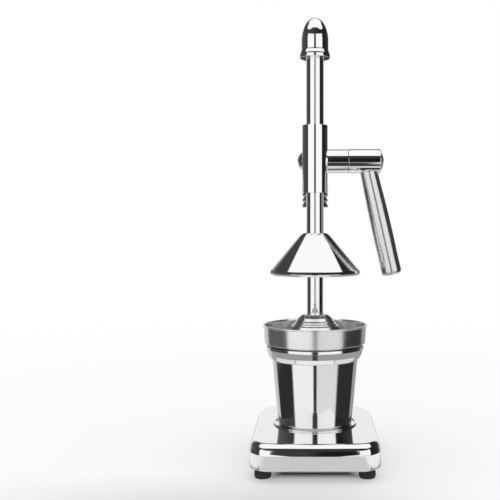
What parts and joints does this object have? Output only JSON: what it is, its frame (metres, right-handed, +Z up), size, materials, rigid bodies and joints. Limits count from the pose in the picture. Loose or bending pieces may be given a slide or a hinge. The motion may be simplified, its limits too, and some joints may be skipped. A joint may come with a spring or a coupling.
{
  "type": "lever citrus press",
  "caption": "Chromed rack-and-pinion hand citrus press: column stand, side lever, sliding press cone, strainer bowl and juice cup on a rounded base.",
  "frame": {"origin": "on the table under the feet, in the middle of the overall footprint; the press axis stands 13.54 mm to -X of it", "axes": "+Z up along the press rod, +X towards the lever, +Y back towards the column"},
  "size_m": [0.148, 0.169, 0.439],
  "materials": {
    "chrome": "mirror plated",
    "polished_steel": "polished stainless sheet",
    "satin_steel": "turned satin stainless sheet",
    "zinc_steel": "bright zinc",
    "black_steel": "black oxide",
    "bronze": "sintered",
    "black_nylon": "matt",
    "black_rubber": "matt"
  },
  "bodies": {
    "stand": {"base_shell": "chrome", "stiffener_plate": "zinc_steel", "cup_ring": "chrome", "rubber_feet": "black_rubber", "foot_screws": "zinc_steel", "column": "chrome", "column_collar": "chrome", "column_bolt": "zinc_steel", "column_washer": "zinc_steel", "head_casting": "chrome", "head_collar_nut": "chrome", "head_set_screws": "black_steel", "rod_bush_upper": "black_nylon", "rod_bush_lower": "black_nylon", "pinion_bush_left": "bronze", "pinion_bush_right": "bronze", "friction_washer": "black_nylon"},
    "plunger": {"rack_rod": "chrome", "rod_cap": "chrome", "cap_stud": "zinc_steel", "press_cone": "chrome", "cone_washer": "zinc_steel", "cone_screw": "zinc_steel"},
    "lever": {"pinion_shaft": "zinc_steel", "shaft_cap": "chrome", "hub_key": "black_steel", "lever_hub": "chrome", "lever_arm": "chrome", "lever_stud": "zinc_steel", "hub_washer": "zinc_steel", "hub_screw": "zinc_steel", "hub_cap": "chrome"},
    "cup": {"cup": "polished_steel"},
    "strainer": {"strainer_bowl": "satin_steel", "strainer_core": "satin_steel"}
  },
  "joints": [
    {"name": "press_stroke", "type": "slide", "parent": "stand", "child": "plunger", "axis": [0, 0, 1], "range_m": [-0.067, 0.0398]},
    {"name": "lever_turn", "type": "hinge", "parent": "stand", "child": "lever", "pos_m": [0, 0.01365, 0.2968], "axis": [1, 0, 0], "range_deg": [-262, 440]},
    {"name": "cup_draw", "type": "slide", "parent": "stand", "child": "cup", "axis": [0, -0.9511, 0.309], "range_m": [0, 0.14]},
    {"name": "strainer_lift", "type": "slide", "parent": "cup", "child": "strainer", "axis": [0, -0.9135, 0.4067], "range_m": [0, 0.13]}
  ],
  "couplings": [
    {"joint": "lever_turn", "follows": "press_stroke", "rad_per_m": -114.29}
  ]
}
